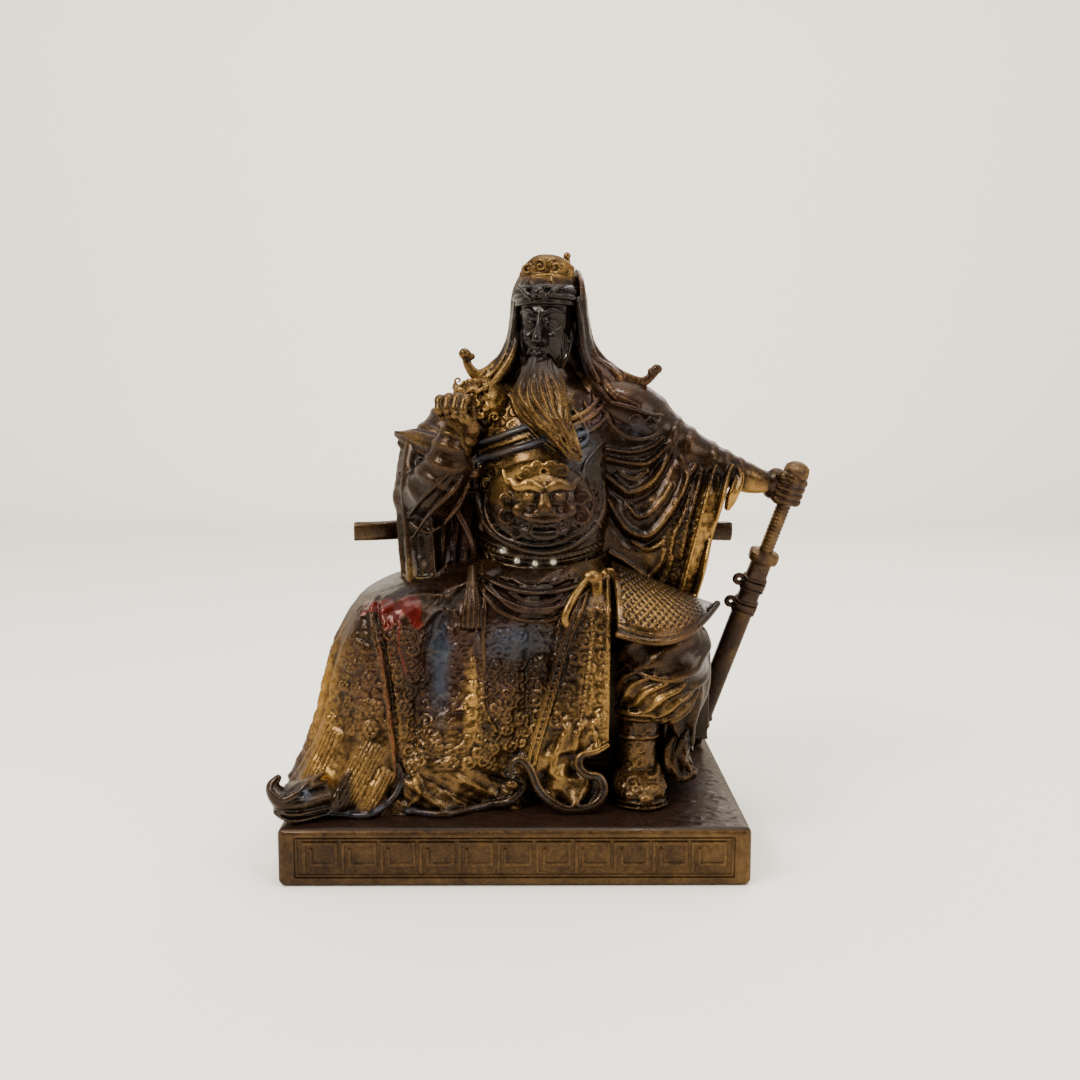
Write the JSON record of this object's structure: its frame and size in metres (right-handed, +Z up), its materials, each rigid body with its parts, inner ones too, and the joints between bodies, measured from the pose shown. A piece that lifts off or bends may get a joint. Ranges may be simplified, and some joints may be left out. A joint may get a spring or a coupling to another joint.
{
  "type": "seated statue",
  "caption": "Cast bronze seated general with a long beard and robe on a horseshoe chair, one hand raised, a sheathed sword in the other, on a rectangular key-fret plinth.",
  "frame": {"origin": "centre of the plinth's underside", "axes": "+Z up, the figure faces -Y, +X towards the sword"},
  "size_m": [0.2222, 0.138, 0.2501],
  "materials": {
    "figure_bronze": "dark brown patina with worn gilding and lacquer",
    "plinth_bronze": "dark brown patina with worn gilding",
    "sword_bronze": "dull brown patina"
  },
  "bodies": {
    "root": {"plinth": "plinth_bronze", "figure": "figure_bronze", "sword": "sword_bronze"}
  },
  "joints": []
}
